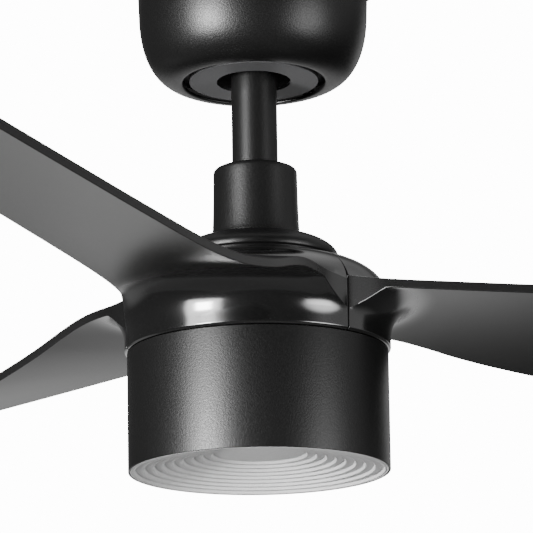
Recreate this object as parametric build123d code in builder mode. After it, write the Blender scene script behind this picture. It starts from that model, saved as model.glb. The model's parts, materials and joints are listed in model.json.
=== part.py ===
"""Three-bladed ceiling fan with a round light, hung on a short downrod.

Millimetres, +Z up. The origin is the centre of the ceiling plane, the axis of the fan is Z, and
blade_1 points along +X. Heights below are above the light's lower rim; up() turns them into z.
"""
from build123d import *
from math import cos, radians, sin, sqrt
import os

os.makedirs("parts", exist_ok=True)

# Overall
DROP = 300.0                 # ceiling to the light's lower rim
SWEEP_RADIUS = 658.0         # a 52 inch fan
BLADES = 3

# Ceiling side
CANOPY_TOP_R = 68.3
CANOPY_SIDE_R = 67.2
CANOPY_SIDE_HEIGHT = 272.0   # the straight side ends and the round bottom begins
CANOPY_BOTTOM_HEIGHT = 231.0
CANOPY_MOUTH_R = 41.7
CANOPY_WALL = 2.0
RING_R = 37.7                # cover ring seen in the canopy's mouth
RING_HOLE_R = 21.75
RING_HEIGHT = 232.0
PLATE_THICK = 2.5            # bent steel of the hanger bracket
PLATE_HALF_WIDTH = 14.0
PLATE_HALF_LENGTH = 63.5
LEG_X = 36.0
SLOT_SPACING = 88.9
SLOT_LENGTH = 16.0
SLOT_R = 2.6
WIRE_HOLE_R = 12.0
SCREW_HEIGHT = 290.0         # the two canopy screws

# Hanging rod
BALL_R = 25.0
BALL_HEIGHT = 266.0          # the centre that the fan swings about
BALL_UP = 6.0
BALL_DOWN = 16.0
SEAT_GAP = 0.1
ROD_R = 13.35                # three-quarter inch pipe
ROD_BORE_R = 10.9
ROD_TOP = 278.0
ROD_BOTTOM = 145.0
PIN_R = 3.0
FIT = 0.15

# Coupling over the motor
COVER_TOP = 178.4
COVER_BOTTOM = 136.0
COVER_R = 24.4
COVER_FLARE_R = 25.6
COVER_WALL = 1.5
YOKE_R = 19.0
YOKE_BOTTOM = 124.0
YOKE_TOP = 169.0
CLEVIS_HEIGHT = 158.0

# Motor
SHAFT_R = 7.5
SHAFT_BORE_R = 4.5
SHAFT_TOP = 142.0
SHAFT_BOTTOM = 58.0
MOTOR_R = 58.0
MOTOR_BOTTOM = 73.5
MOTOR_SPLIT = 95.0
MOTOR_TOP = 116.5
BOSS_R = 22.0
BEARING_R = 17.5
BEARING_WIDTH = 11.0
BALL_PITCH_R = 12.5
BEARING_BALL_R = 3.0
BEARING_BALLS = 8
UPPER_BEARING = 109.5        # middle heights of the two bearings
LOWER_BEARING = 80.5
STATOR_R = 46.0
STATOR_BOTTOM = 88.0
STATOR_TOP = 102.0
TEETH = 12
MAGNETS = 14
MAGNET_IN_R = 46.6
MAGNET_OUT_R = 49.6
IRON_R = 52.6

# Hub and blades
HUB_R = 76.5
HUB_BOTTOM = 69.0
HUB_WALL = 3.0
HUB_CHAMFER = 1.2
SHOULDER = 96.0              # the hub's wall ends and its dome begins
FLANGE_R = 34.0
FLANGE_TOP = 119.5
SEAM_HALF = 59.9             # each blade's root covers just under 120 degrees
SEAM_X = 38.3
SEAM_Y = 66.15
BLADE_THICK = 5.2
CAMBER = 2.5
ROOT_FILLET = 21.5           # hollow under each blade where it leaves the hub
ROOT_FILLET_BOTTOM = 76.0
FILLET_TURN = 60.0           # degrees that its arc turns through
BLADE_SCREW_R = 39.2

# Light
DRUM_R = 75.0
DRUM_TOP = 68.2
DRUM_WALL = 2.2
DRUM_LIP_R = 73.8
DRUM_CHAMFER = 0.6
LIGHT_PLATE_R = 50.0
LIGHT_PLATE_TOP = 70.7
HEAT_PLATE_R = 70.0
HEAT_PLATE_BOTTOM = 24.0
HEAT_PLATE_TOP = 26.5
LENS_BOTTOM = 0.1
LENS_STEPS = 9
LENS_STEP = 1.2
LENS_RIM_R = 73.5
LENS_RIM_WIDE = 1.8
LENS_CENTRE_R = 27.0         # the innermost step
LENS_THICK = 1.8
STANDOFF_R = 60.0
LAMP_SCREW_R = 40.0

BASE = (Align.CENTER, Align.CENTER, Align.MIN)


def up(height):
    """z of a height above the light's lower rim."""
    return height - DROP


# ---------------------------------------------------------------- ceiling side

BRACKET_FLOOR = BALL_HEIGHT - 12.0
SEAT_R = 31.0

with BuildPart() as hanger_bracket:
    with Locations((0, 0, -PLATE_THICK)):
        Box(2 * PLATE_HALF_LENGTH, 2 * PLATE_HALF_WIDTH, PLATE_THICK, align=BASE)
    for side in (-1, 1):
        with Locations((side * (LEG_X - PLATE_THICK / 2), 0, up(BRACKET_FLOOR))):
            Box(PLATE_THICK, 2 * PLATE_HALF_WIDTH, -up(BRACKET_FLOOR), align=BASE)
        with Locations((side * (PLATE_HALF_LENGTH - PLATE_THICK / 2), 0, -20)):
            Box(PLATE_THICK, PLATE_HALF_WIDTH, 20, align=BASE)
    with Locations((0, 0, up(BRACKET_FLOOR))):
        Box(2 * LEG_X, 2 * PLATE_HALF_WIDTH, PLATE_THICK, align=BASE)
        Cylinder(SEAT_R, 8, align=(Align.CENTER, Align.CENTER, Align.CENTER))
    with Locations((0, 0, up(BALL_HEIGHT))):
        Sphere(BALL_R + SEAT_GAP, mode=Mode.SUBTRACT)
    with BuildSketch(Plane.XY):
        Circle(WIRE_HOLE_R)
        with Locations((-SLOT_SPACING / 2, 0), (SLOT_SPACING / 2, 0)):
            SlotOverall(SLOT_LENGTH, 2 * SLOT_R)
    extrude(amount=-PLATE_THICK, mode=Mode.SUBTRACT)
    with BuildSketch(Plane.YZ.offset(-PLATE_HALF_LENGTH)):
        with Locations((0, up(SCREW_HEIGHT))):
            Circle(2.0)
    extrude(amount=2 * PLATE_HALF_LENGTH - 2 * LEG_X + PLATE_THICK, mode=Mode.SUBTRACT)
    with BuildSketch(Plane.YZ.offset(PLATE_HALF_LENGTH)):
        with Locations((0, up(SCREW_HEIGHT))):
            Circle(2.0)
    extrude(amount=-10, mode=Mode.SUBTRACT)
hanger_bracket.part.label = "hanger_bracket"
export_step(hanger_bracket.part, "parts/hanger_bracket.step")


def canopy_outline(inset):
    """Half section of the canopy, moved inwards by inset: ceiling rim to mouth."""
    bottom = up(CANOPY_BOTTOM_HEIGHT) + inset
    side = CANOPY_SIDE_R - inset
    return [
        (CANOPY_TOP_R - inset, 0),
        (side, up(CANOPY_SIDE_HEIGHT)),
        (side - 0.4, up(CANOPY_SIDE_HEIGHT) - 24),
        (58, bottom),
        (CANOPY_MOUTH_R, bottom),
    ]


with BuildPart() as canopy:
    with BuildSketch(Plane.XZ):
        with BuildLine():
            outer = canopy_outline(0)
            inner = canopy_outline(CANOPY_WALL)
            Line(outer[0], outer[1])
            Bezier(*outer[1:])
            Line(outer[4], inner[4])
            Bezier(*reversed(inner[1:]))
            Line(inner[1], inner[0])
            Line(inner[0], outer[0])
        make_face()
    revolve(axis=Axis.Z)
    with BuildSketch(Plane.YZ):
        with Locations((0, up(SCREW_HEIGHT))):
            Circle(2.2)
    extrude(amount=CANOPY_TOP_R + 1, both=True, mode=Mode.SUBTRACT)
canopy.part.label = "canopy"
export_step(canopy.part, "parts/canopy.step")

with BuildPart() as canopy_screws:
    for side in (-1, 1):
        with BuildSketch(Plane.YZ.offset(side * (CANOPY_TOP_R - 0.2))):
            with Locations((0, up(SCREW_HEIGHT))):
                Circle(4.0)
        extrude(amount=side * 2.2)
        with BuildSketch(Plane.YZ.offset(side * 56)):
            with Locations((0, up(SCREW_HEIGHT))):
                Circle(1.9)
        extrude(amount=side * (CANOPY_TOP_R - 56))
canopy_screws.part.label = "canopy_screws"
export_step(canopy_screws.part, "parts/canopy_screws.step")

RING_FLANGE_BOTTOM = CANOPY_BOTTOM_HEIGHT + CANOPY_WALL
with BuildPart() as canopy_cover_ring:
    with BuildSketch(Plane.XZ):
        with BuildLine():
            Polyline(
                (RING_HOLE_R, up(RING_HEIGHT)),
                (RING_R, up(RING_HEIGHT)),
                (RING_R, up(RING_FLANGE_BOTTOM) + 3.5),
                (CANOPY_MOUTH_R + 3.5, up(RING_FLANGE_BOTTOM) + 3.5),
                (CANOPY_MOUTH_R + 3.5, up(RING_FLANGE_BOTTOM) + 5.3),
                (RING_R - 1.8, up(RING_FLANGE_BOTTOM) + 5.3),
                (RING_R - 1.8, up(RING_HEIGHT) + 2),
                (RING_HOLE_R, up(RING_HEIGHT) + 2),
                close=True,
            )
        make_face()
    revolve(axis=Axis.Z)
    with Locations((0, 0, up(RING_FLANGE_BOTTOM) + 0.3)):
        with PolarLocations(CANOPY_MOUTH_R + 1.5, 3, start_angle=30):
            Box(1.6, 8.0, 3.4, align=BASE)
canopy_cover_ring.part.label = "canopy_cover_ring"
export_step(canopy_cover_ring.part, "parts/canopy_cover_ring.step")

with BuildPart() as receiver_box:
    with Locations((0, 38, up(DROP - 25))):
        Box(56, 22, 18, align=BASE)
    fillet(receiver_box.edges().filter_by(Axis.Z), 3)
    chamfer(receiver_box.faces().sort_by(Axis.Z)[0].edges(), 1)
receiver_box.part.label = "receiver_box"
export_step(receiver_box.part, "parts/receiver_box.step")

with BuildPart() as terminal_block:
    with Locations((0, -33, up(DROP - 19))):
        Box(34, 16, 13, align=BASE)
    with Locations(*[(x, -33, up(DROP - 19)) for x in (-11, 0, 11)]):
        Cylinder(3.0, 5, align=BASE, mode=Mode.SUBTRACT)
    with Locations(*[(x, -33, up(DROP - 10)) for x in (-11, 0, 11)]):
        Cylinder(2.2, 16.2, rotation=(90, 0, 0), mode=Mode.SUBTRACT)
terminal_block.part.label = "terminal_block"
export_step(terminal_block.part, "parts/terminal_block.step")

with BuildPart() as terminal_screws:
    with Locations(*[(x, -33, up(DROP - 18)) for x in (-11, 0, 11)]):
        Cylinder(2.5, 3, align=BASE)
        Box(0.6, 4.0, 1.0, align=BASE, mode=Mode.SUBTRACT)
terminal_screws.part.label = "terminal_screws"
export_step(terminal_screws.part, "parts/terminal_screws.step")

# ---------------------------------------------------------------- hanging rod

PIN_HEIGHT = BALL_HEIGHT + 4.0
PIN_HALF = 20.0
SET_SCREW_HEIGHT = BALL_HEIGHT - 8.0

with BuildPart() as hanger_ball:
    with Locations((0, 0, up(BALL_HEIGHT))):
        Sphere(BALL_R)
    with Locations((0, 0, up(BALL_HEIGHT + BALL_UP))):
        Box(60, 60, 30, align=BASE, mode=Mode.SUBTRACT)
    with Locations((0, 0, up(BALL_HEIGHT - BALL_DOWN - 30))):
        Box(60, 60, 30, align=BASE, mode=Mode.SUBTRACT)
    with Locations((0, 0, up(BALL_HEIGHT - 30))):
        Cylinder(ROD_R + FIT, 60, align=BASE, mode=Mode.SUBTRACT)
    with Locations((0, 0, up(PIN_HEIGHT - PIN_R - 0.1))):
        Box(60, 2 * PIN_R + 0.3, 20, align=BASE, mode=Mode.SUBTRACT)
    with BuildSketch(Plane.XZ):
        with Locations((0, up(SET_SCREW_HEIGHT))):
            Circle(2.6)
    extrude(amount=30, mode=Mode.SUBTRACT)
hanger_ball.part.label = "hanger_ball"
export_step(hanger_ball.part, "parts/hanger_ball.step")

with BuildPart() as ball_pin:
    with Locations((0, 0, up(PIN_HEIGHT))):
        Cylinder(PIN_R, 2 * PIN_HALF, rotation=(0, 90, 0))
    chamfer(ball_pin.edges().filter_by(GeomType.CIRCLE), 0.6)
ball_pin.part.label = "ball_pin"
export_step(ball_pin.part, "parts/ball_pin.step")

with BuildPart() as ball_set_screw:
    with BuildSketch(Plane.XZ.offset(ROD_R + 0.05)):
        with Locations((0, up(SET_SCREW_HEIGHT))):
            Circle(2.5)
    extrude(amount=8)
    with BuildSketch(Plane.XZ.offset(ROD_R + 5.05)):
        with Locations((0, up(SET_SCREW_HEIGHT))):
            RegularPolygon(1.4, 6)
    extrude(amount=4, mode=Mode.SUBTRACT)
ball_set_screw.part.label = "ball_set_screw"
export_step(ball_set_screw.part, "parts/ball_set_screw.step")

with BuildPart() as downrod:
    with Locations((0, 0, up(ROD_BOTTOM))):
        Cylinder(ROD_R, ROD_TOP - ROD_BOTTOM, align=BASE)
        Cylinder(ROD_BORE_R, ROD_TOP - ROD_BOTTOM, align=BASE, mode=Mode.SUBTRACT)
    with Locations((0, 0, up(PIN_HEIGHT)), (0, 0, up(CLEVIS_HEIGHT))):
        Cylinder(PIN_R + FIT, 60, rotation=(0, 90, 0), mode=Mode.SUBTRACT)
downrod.part.label = "downrod"
export_step(downrod.part, "parts/downrod.step")

with BuildPart() as yoke:
    with Locations((0, 0, up(YOKE_BOTTOM))):
        Cylinder(YOKE_R, YOKE_TOP - YOKE_BOTTOM, align=BASE)
        Cylinder(SHAFT_R + 0.02, 60, align=BASE, mode=Mode.SUBTRACT)
    with Locations((0, 0, up(ROD_BOTTOM - 0.5))):
        Cylinder(ROD_R + FIT, 60, align=BASE, mode=Mode.SUBTRACT)
    with Locations((0, 0, up(CLEVIS_HEIGHT))):
        Cylinder(PIN_R + FIT, 60, rotation=(0, 90, 0), mode=Mode.SUBTRACT)
    with BuildSketch(Plane.XZ.offset(-30)):
        with Locations((0, up(CLEVIS_HEIGHT - 6))):
            Circle(2.6)
        with Locations((0, up(YOKE_BOTTOM + 7))):
            Circle(2.6)
    extrude(amount=60, mode=Mode.SUBTRACT)
    chamfer(yoke.faces().sort_by(Axis.Z)[0].edges(), 0.8)
yoke.part.label = "yoke"
export_step(yoke.part, "parts/yoke.step")

with BuildPart() as clevis_pin:
    with Locations((0, 0, up(CLEVIS_HEIGHT))):
        Cylinder(PIN_R, 42.5, rotation=(0, 90, 0))
    with Locations((-20.2, 0, up(CLEVIS_HEIGHT))):
        Cylinder(4.3, 2.2, rotation=(0, 90, 0))
    with Locations((20.4, 0, up(CLEVIS_HEIGHT))):
        Cylinder(0.95, 10, mode=Mode.SUBTRACT)
clevis_pin.part.label = "clevis_pin"
export_step(clevis_pin.part, "parts/clevis_pin.step")

HAIRPIN_WIRE_R = 0.75
with BuildPart() as hairpin:
    with BuildLine() as hairpin_path:
        pin_leg = Line((20.4, 0, up(CLEVIS_HEIGHT) - 5), (20.4, 0, up(CLEVIS_HEIGHT) + 5))
        ThreePointArc(pin_leg @ 1, (20.4, 2.2, up(CLEVIS_HEIGHT) + 7.2),
                      (20.4, 4.4, up(CLEVIS_HEIGHT) + 5))
    with BuildSketch(Plane(origin=pin_leg @ 0, z_dir=(0, 0, 1))):
        Circle(HAIRPIN_WIRE_R)
    sweep()
hairpin.part.label = "hairpin"
export_step(hairpin.part, "parts/hairpin.step")

with BuildPart() as yoke_set_screws:
    for side in (-1, 1):
        with BuildSketch(Plane.XZ.offset(side * (ROD_R + 0.05))):
            with Locations((0, up(CLEVIS_HEIGHT - 6))):
                Circle(2.5)
        extrude(amount=side * 5.5)
        with BuildSketch(Plane.XZ.offset(side * (SHAFT_R + 0.05))):
            with Locations((0, up(YOKE_BOTTOM + 7))):
                Circle(2.5)
        extrude(amount=side * 10)
yoke_set_screws.part.label = "yoke_set_screws"
export_step(yoke_set_screws.part, "parts/yoke_set_screws.step")

with BuildPart() as coupling_cover:
    with BuildSketch(Plane.XZ):
        with BuildLine():
            wall = COVER_WALL
            Polyline(
                (COVER_FLARE_R - wall, up(COVER_BOTTOM)),
                (COVER_FLARE_R, up(COVER_BOTTOM)),
                (COVER_FLARE_R, up(COVER_BOTTOM) + 1.2),
            )
            Spline(
                (COVER_FLARE_R, up(COVER_BOTTOM) + 1.2),
                (COVER_R + 0.5, up(COVER_BOTTOM) + 12),
                (COVER_R, up(COVER_TOP) - 3),
                tangents=((-0.12, 1), (0, 1)),
            )
            RadiusArc((COVER_R, up(COVER_TOP) - 3), (COVER_R - 3, up(COVER_TOP)), -3)
            Polyline(
                (COVER_R - 3, up(COVER_TOP)),
                (ROD_R + 0.4, up(COVER_TOP)),
                (ROD_R + 0.4, up(COVER_TOP) - 2),
                (COVER_R - 3, up(COVER_TOP) - 2),
            )
            RadiusArc((COVER_R - 3, up(COVER_TOP) - 2), (COVER_R - wall, up(COVER_TOP) - 3.5), 1.5)
            Spline(
                (COVER_R - wall, up(COVER_TOP) - 3.5),
                (COVER_R + 0.5 - wall, up(COVER_BOTTOM) + 12),
                (COVER_FLARE_R - wall, up(COVER_BOTTOM)),
                tangents=((0, -1), (0.12, -1)),
            )
        make_face()
    revolve(axis=Axis.Z)
coupling_cover.part.label = "coupling_cover"
export_step(coupling_cover.part, "parts/coupling_cover.step")

# Three wires run up the shaft's bore and pass the two pins on one side.
WIRE_R = 1.1
WIRE_TOP = ROD_TOP + 3.0
with BuildPart() as wire_bundle:
    for shaft_spot, rod_spot in (((-2.4, 0.9), (-4.0, 5.6)), ((0, -2.2), (0, 5.2)),
                                 ((2.4, 0.9), (4.0, 5.6))):
        with BuildLine() as wire_path:
            FilletPolyline(
                (*shaft_spot, up(SHAFT_BOTTOM - 1)),
                (*shaft_spot, up(SHAFT_TOP + 1)),
                (*rod_spot, up(SHAFT_TOP + 14)),
                (*rod_spot, up(WIRE_TOP)),
                radius=9,
            )
        with BuildSketch(Plane(origin=wire_path.line @ 0, z_dir=(0, 0, 1))):
            Circle(WIRE_R)
        sweep()
wire_bundle.part.label = "wire_bundle"
export_step(wire_bundle.part, "parts/wire_bundle.step")

with BuildPart() as rod_plug:
    with Locations((0, 5.4, up(WIRE_TOP))):
        Box(13, 7, 10, align=BASE)
    fillet(rod_plug.edges().filter_by(Axis.Z), 1.2)
rod_plug.part.label = "rod_plug"
export_step(rod_plug.part, "parts/rod_plug.step")

# ---------------------------------------------------------------- motor, still part

with BuildPart() as motor_shaft:
    with Locations((0, 0, up(SHAFT_BOTTOM))):
        Cylinder(SHAFT_R, SHAFT_TOP - SHAFT_BOTTOM, align=BASE)
    with Locations((0, 0, up(LIGHT_PLATE_TOP))):
        Cylinder(SHAFT_R + 1.5, 3.0, align=BASE)
    with Locations((0, 0, up(SHAFT_BOTTOM))):
        Cylinder(SHAFT_BORE_R, SHAFT_TOP - SHAFT_BOTTOM, align=BASE, mode=Mode.SUBTRACT)
motor_shaft.part.label = "motor_shaft"
export_step(motor_shaft.part, "parts/motor_shaft.step")

with BuildPart() as stator_core:
    with BuildSketch(Plane.XY.offset(up(STATOR_BOTTOM))):
        Circle(STATOR_R)
        Circle(STATOR_R - 2.8, mode=Mode.SUBTRACT)
        with PolarLocations(STATOR_R - 1.4, TEETH, start_angle=180 / TEETH):
            Rectangle(4, 3.4, mode=Mode.SUBTRACT)
        with PolarLocations(33.0, TEETH):
            Rectangle(22.0, 6.0)
        Circle(23.0)
        Circle(SHAFT_R + 0.02, mode=Mode.SUBTRACT)
    extrude(amount=STATOR_TOP - STATOR_BOTTOM)
stator_core.part.label = "stator_core"
export_step(stator_core.part, "parts/stator_core.step")

with BuildPart() as windings:
    for number in range(TEETH):
        with BuildSketch(Plane(origin=(0, 0, up((STATOR_BOTTOM + STATOR_TOP) / 2)),
                               x_dir=(-sin(radians(30 * number)), cos(radians(30 * number)), 0),
                               z_dir=(cos(radians(30 * number)), sin(radians(30 * number)), 0)
                               ).offset(27.5)):
            RectangleRounded(11.5, STATOR_TOP - STATOR_BOTTOM + 7.0, 2.5)
            RectangleRounded(6.2, STATOR_TOP - STATOR_BOTTOM + 0.2, 0.05, mode=Mode.SUBTRACT)
        extrude(amount=12.5)
windings.part.label = "windings"
export_step(windings.part, "parts/windings.step")

# ---------------------------------------------------------------- bearings

for place, middle in (("upper", UPPER_BEARING), ("lower", LOWER_BEARING)):
    bottom = up(middle - BEARING_WIDTH / 2)
    groove_r = BEARING_BALL_R + 0.05
    with BuildPart() as inner_race:
        with Locations((0, 0, bottom)):
            Cylinder(10.4, BEARING_WIDTH, align=BASE)
            Cylinder(SHAFT_R + 0.01, BEARING_WIDTH, align=BASE, mode=Mode.SUBTRACT)
        with Locations((0, 0, up(middle))):
            Torus(BALL_PITCH_R, groove_r, mode=Mode.SUBTRACT)
    inner_race.part.label = f"{place}_inner_race"
    export_step(inner_race.part, f"parts/{place}_inner_race.step")

    with BuildPart() as outer_race:
        with Locations((0, 0, bottom)):
            Cylinder(BEARING_R, BEARING_WIDTH, align=BASE)
            Cylinder(14.6, BEARING_WIDTH, align=BASE, mode=Mode.SUBTRACT)
        with Locations((0, 0, up(middle))):
            Torus(BALL_PITCH_R, groove_r, mode=Mode.SUBTRACT)
    outer_race.part.label = f"{place}_outer_race"
    export_step(outer_race.part, f"parts/{place}_outer_race.step")

    with BuildPart() as bearing_balls:
        with Locations((0, 0, up(middle))):
            with PolarLocations(BALL_PITCH_R, BEARING_BALLS):
                Sphere(BEARING_BALL_R)
    bearing_balls.part.label = f"{place}_bearing_balls"
    export_step(bearing_balls.part, f"parts/{place}_bearing_balls.step")

    with BuildPart() as bearing_cage:
        with Locations((0, 0, up(middle - 3.9))):
            Cylinder(13.9, 7.8, align=BASE)
            Cylinder(11.1, 7.8, align=BASE, mode=Mode.SUBTRACT)
        with Locations((0, 0, up(middle))):
            with PolarLocations(BALL_PITCH_R, BEARING_BALLS):
                Cylinder(BEARING_BALL_R + 0.1, 6, rotation=(0, 90, 0), mode=Mode.SUBTRACT)
    bearing_cage.part.label = f"{place}_bearing_cage"
    export_step(bearing_cage.part, f"parts/{place}_bearing_cage.step")

# ---------------------------------------------------------------- motor, turning part

with BuildPart() as motor_top_cover:
    with BuildSketch(Plane.XZ):
        with BuildLine():
            bearing_top = UPPER_BEARING + BEARING_WIDTH / 2
            bearing_low = UPPER_BEARING - BEARING_WIDTH / 2
            Polyline(
                (BEARING_R - 3, up(MOTOR_TOP)),
                (MOTOR_R, up(MOTOR_TOP)),
                (MOTOR_R, up(MOTOR_SPLIT)),
                (IRON_R + 0.05, up(MOTOR_SPLIT)),
                (IRON_R + 0.05, up(MOTOR_TOP - 4)),
                (BOSS_R, up(MOTOR_TOP - 4)),
                (BOSS_R, up(bearing_low)),
                (BEARING_R + 0.01, up(bearing_low)),
                (BEARING_R + 0.01, up(bearing_top)),
                (BEARING_R - 3, up(bearing_top)),
                close=True,
            )
        make_face()
    revolve(axis=Axis.Z)
    with Locations((0, 0, up(MOTOR_TOP - 6))):
        with PolarLocations(BLADE_SCREW_R, 6, start_angle=30):
            Cylinder(2.05, 10, align=BASE, mode=Mode.SUBTRACT)
    with Locations((0, 0, up(MOTOR_SPLIT - 1))):
        with PolarLocations(55.4, 6):
            Cylinder(1.3, 9, align=BASE, mode=Mode.SUBTRACT)
motor_top_cover.part.label = "motor_top_cover"
export_step(motor_top_cover.part, "parts/motor_top_cover.step")

with BuildPart() as motor_bottom_cover:
    with BuildSketch(Plane.XZ):
        with BuildLine():
            bearing_top = LOWER_BEARING + BEARING_WIDTH / 2
            bearing_low = LOWER_BEARING - BEARING_WIDTH / 2
            Polyline(
                (BEARING_R - 3, up(MOTOR_BOTTOM)),
                (MOTOR_R, up(MOTOR_BOTTOM)),
                (MOTOR_R, up(MOTOR_SPLIT)),
                (IRON_R + 0.05, up(MOTOR_SPLIT)),
                (IRON_R + 0.05, up(MOTOR_BOTTOM + 4)),
                (BOSS_R, up(MOTOR_BOTTOM + 4)),
                (BOSS_R, up(bearing_top)),
                (BEARING_R + 0.01, up(bearing_top)),
                (BEARING_R + 0.01, up(bearing_low)),
                (BEARING_R - 3, up(bearing_low)),
                close=True,
            )
        make_face()
    revolve(axis=Axis.Z)
    with Locations((0, 0, up(MOTOR_BOTTOM))):
        with PolarLocations(55.4, 6):
            Cylinder(1.6, 30, align=BASE, mode=Mode.SUBTRACT)
motor_bottom_cover.part.label = "motor_bottom_cover"
export_step(motor_bottom_cover.part, "parts/motor_bottom_cover.step")

with BuildPart() as motor_screws:
    with PolarLocations(55.4, 6):
        with Locations((0, 0, up(MOTOR_BOTTOM - 1.8))):
            Cylinder(2.4, 1.8, align=BASE)
        with Locations((0, 0, up(MOTOR_BOTTOM))):
            Cylinder(1.25, 28, align=BASE)
motor_screws.part.label = "motor_screws"
export_step(motor_screws.part, "parts/motor_screws.step")

with BuildPart() as rotor_iron:
    with Locations((0, 0, up(STATOR_BOTTOM - 3))):
        Cylinder(IRON_R, STATOR_TOP - STATOR_BOTTOM + 6, align=BASE)
        Cylinder(MAGNET_OUT_R, STATOR_TOP - STATOR_BOTTOM + 6, align=BASE, mode=Mode.SUBTRACT)
rotor_iron.part.label = "rotor_iron"
export_step(rotor_iron.part, "parts/rotor_iron.step")

with BuildPart() as magnets:
    with BuildSketch(Plane.XY.offset(up(STATOR_BOTTOM - 1))):
        Circle(MAGNET_OUT_R - 0.01)
        Circle(MAGNET_IN_R, mode=Mode.SUBTRACT)
        with PolarLocations((MAGNET_IN_R + MAGNET_OUT_R) / 2, MAGNETS):
            Rectangle(8, 1.2, mode=Mode.SUBTRACT)
    extrude(amount=STATOR_TOP - STATOR_BOTTOM + 2)
magnets.part.label = "magnets"
export_step(magnets.part, "parts/magnets.step")

# ---------------------------------------------------------------- blades

# Stations along a blade: distance from the axis, height of the top of the leading and of the
# trailing edge. The trailing edge leaves the hub level and then dips into the pitch.
STATIONS = [
    (30, 101.0, 99.4), (58, 101.0, 99.8), (80, 101.1, 99.8), (95, 101.2, 98.0),
    (112, 101.2, 94.0), (132, 101.2, 88.4), (156, 101.2, 82.8), (190, 101.2, 76.4),
    (240, 101.2, 71.0), (320, 101.2, 67.3), (400, 101.2, 64.4), (480, 101.0, 61.6),
    (560, 100.5, 59.0), (670, 99.5, 56.5),
]
HALF_CHORD = 57.0            # where those two heights are measured
SECTION_HALF = 72.0          # the lofted sheet is wider than the blade, and is trimmed to it


def sheet_height(leading, trailing, y, thickness):
    """Height of the blade's sheet across the chord; +y is the trailing side."""
    share = y / HALF_CHORD
    middle = (leading + trailing) / 2
    arch = CAMBER * (1 - share * share)
    return up(middle + share * (trailing - leading) / 2 + arch - thickness)


with BuildPart() as blade_sheet:
    for distance, leading, trailing in STATIONS:
        with BuildSketch(Plane.YZ.offset(distance)):
            with BuildLine():
                spots = [SECTION_HALF * share for share in (-1, -0.5, 0, 0.5, 1)]
                top = [(y, sheet_height(leading, trailing, y, 0)) for y in spots]
                low = [(y, sheet_height(leading, trailing, y, BLADE_THICK)) for y in spots]
                Spline(*top)
                Line(top[-1], low[-1])
                Spline(*reversed(low))
                Line(low[0], top[0])
            make_face()
    loft()

with BuildPart() as blade_plan:
    with BuildSketch(Plane.XY.offset(up(40))):
        with BuildLine():
            trailing_edge = Spline(
                (SEAM_X, SEAM_Y), (60, 60.6), (90, 57.8), (150, 57.0), (300, 54.3),
                (600, 45.5),
                tangents=((0.91, -0.41), (1, -0.03)),
            )
            Spline((600, 45.5), (642, 33), (SWEEP_RADIUS, 2), (642, -40), (600, -53.5),
                   tangents=((1, -0.03), (-1, -0.02)))
            leading_edge = Spline(
                (600, -53.5), (450, -57.0), (300, -58.2), (150, -56.8), (90, -57.8),
                (60, -60.6), (SEAM_X, -SEAM_Y),
                tangents=((-1, -0.02), (-0.91, -0.41)),
            )
            Polyline((SEAM_X, -SEAM_Y), (SEAM_X / 2, -SEAM_Y / 2),
                     (SEAM_X / 2, SEAM_Y / 2), (SEAM_X, SEAM_Y))
        make_face()
        Circle(HUB_R - 2.0, mode=Mode.SUBTRACT)
    extrude(amount=100)

# A hollow fillet under the blade: an arc that leaves the hub's wall upright and ends inside
# the blade's sheet, crossing the underside at a slope.
fillet_end = (
    HUB_R + ROOT_FILLET * (1 - cos(radians(FILLET_TURN))),
    up(ROOT_FILLET_BOTTOM + ROOT_FILLET * sin(radians(FILLET_TURN))),
)
with BuildPart() as root_fillet:
    with BuildSketch(Plane.XZ):
        with BuildLine():
            JernArc((HUB_R, up(ROOT_FILLET_BOTTOM)), (0, 1), ROOT_FILLET, -FILLET_TURN)
            Polyline(
                fillet_end,
                (HUB_R - 1, fillet_end[1]),
                (HUB_R - 1, up(ROOT_FILLET_BOTTOM)),
                (HUB_R, up(ROOT_FILLET_BOTTOM)),
            )
        make_face()
    revolve(axis=Axis.Z)
    add(blade_plan.part, mode=Mode.INTERSECT)

# The web that joins the edges of neighbouring blades at the seam, deepest at the seam.
with BuildPart() as web:
    with BuildSketch(Plane.XZ):
        with BuildLine():
            Polyline((30, up(98)), (30, up(79)), (SEAM_X, up(79.5)))
            Spline((SEAM_X, up(79.5)), (46, up(83.0)), (56, up(89.5)), (70, up(96)))
            Line((70, up(96)), (70, up(98)))
            Line((70, up(98)), (30, up(98)))
        make_face()
    extrude(amount=100, both=True)
    add(blade_plan.part, mode=Mode.INTERSECT)

seam = radians(SEAM_HALF)
root_plane = Plane(origin=(0, 0, 0), x_dir=(cos(seam), -sin(seam), 0), z_dir=(-sin(seam), -cos(seam), 0))

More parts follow.
